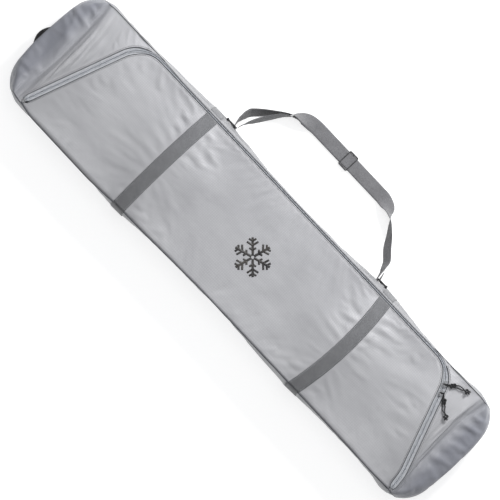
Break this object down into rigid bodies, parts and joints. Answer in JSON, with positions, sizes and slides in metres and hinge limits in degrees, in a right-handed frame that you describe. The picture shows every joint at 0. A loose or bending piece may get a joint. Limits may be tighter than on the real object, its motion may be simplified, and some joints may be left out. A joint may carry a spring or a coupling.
{
  "type": "snowboard bag",
  "caption": "Long grey snowboard bag with a zipped front flap, zip sliders on cord pulls, webbing bands, an adjustable shoulder strap on rings and a grab handle.",
  "frame": {"origin": "under the middle of the bag, on the surface that it lies on with its front up", "axes": "+X along the bag towards the end where the zip sliders are parked, +Y to the side with the shoulder strap, +Z out of the front"},
  "size_m": [1.5142, 0.5412, 0.1414],
  "materials": {
    "ripstop_fabric": "satin grey weave",
    "band_webbing": "grey webbing",
    "strap_webbing": "grey webbing",
    "zip_tape": "woven tape",
    "zip_coil": "nylon coil",
    "black_plastic": "moulded",
    "black_cord": "braided cord",
    "slider_metal": "satin"
  },
  "bodies": {
    "bag": {"back_panel": "ripstop_fabric", "band_foot_back": "band_webbing", "band_foot_hinge_gusset": "band_webbing", "band_foot_strap_gusset": "band_webbing", "band_head_back": "band_webbing", "band_head_hinge_gusset": "band_webbing", "band_head_strap_gusset": "band_webbing", "front_foot_panel": "ripstop_fabric", "front_head_panel": "ripstop_fabric", "gusset_foot_end": "ripstop_fabric", "gusset_head_end": "ripstop_fabric", "gusset_hinge_side": "ripstop_fabric", "gusset_strap_side": "ripstop_fabric", "handle_patch_hinge_side": "black_cord", "handle_patch_strap_side": "black_cord", "hinge_seam_piping": "black_cord", "ring_tab_foot": "band_webbing", "ring_tab_head": "band_webbing", "strap_ring_foot": "black_plastic", "strap_ring_head": "black_plastic", "zip_coil_fixed": "zip_coil", "zip_stop_foot": "slider_metal", "zip_stop_head": "slider_metal", "zip_tape_fixed": "zip_tape"},
    "flap": {"front_flap": "ripstop_fabric", "band_head_flap": "band_webbing", "band_foot_flap": "band_webbing", "zip_tape_flap": "zip_tape", "zip_tape_flap_foot": "zip_tape", "zip_coil_flap": "zip_coil", "zip_coil_flap_foot": "zip_coil"},
    "slider_upper": {"zip_slider_upper": "slider_metal"},
    "pull_upper": {"pull_cord_upper": "black_cord", "pull_knot_upper": "black_cord"},
    "slider_lower": {"zip_slider_lower": "slider_metal"},
    "pull_lower": {"pull_cord_lower": "black_cord", "pull_knot_lower": "black_cord"},
    "strap": {"shoulder_strap": "strap_webbing", "strap_return": "strap_webbing"},
    "triglide_body": {"triglide": "black_plastic"},
    "handle": {"grab_handle": "black_cord"}
  },
  "joints": [
    {"name": "flap_hinge", "type": "hinge", "parent": "bag", "child": "flap", "pos_m": [0, -0.1625, 0.132], "axis": [1, 0, 0], "range_deg": [0, 165]},
    {"name": "slider_upper_turn", "type": "hinge", "parent": "bag", "child": "slider_upper", "pos_m": [0.514, 0.0795, 0.132], "axis": [0, 0, 1], "range_deg": [0, 46]},
    {"name": "pull_upper_swing", "type": "hinge", "parent": "slider_upper", "child": "pull_upper", "pos_m": [0.5845, 0.1213, 0.1381], "axis": [0.51, -0.8602, 0], "range_deg": [0, 160]},
    {"name": "slider_lower_slide", "type": "slide", "parent": "bag", "child": "slider_lower", "axis": [0.3678, -0.9299, 0], "range_m": [0, 0.195]},
    {"name": "pull_lower_swing", "type": "hinge", "parent": "slider_lower", "child": "pull_lower", "pos_m": [0.5939, 0.1004, 0.1381], "axis": [0.3678, -0.9299, 0], "range_deg": [0, 160]},
    {"name": "strap_swing", "type": "hinge", "parent": "bag", "child": "strap", "pos_m": [0, 0.1838, 0.064], "axis": [1, 0, 0], "range_deg": [0, 150], "deforming": ["shoulder_strap", "strap_return"]},
    {"name": "triglide_slide", "type": "slide", "parent": "strap", "child": "triglide_body", "axis": [1, 0, 0], "range_m": [-0.09, 0.1], "deforming": ["strap_return"]},
    {"name": "handle_flex", "type": "hinge", "parent": "bag", "child": "handle", "pos_m": [-0.748, -0.0125, 0.064], "axis": [0, 1, 0], "range_deg": [-40, 50], "deforming": ["grab_handle"]}
  ]
}
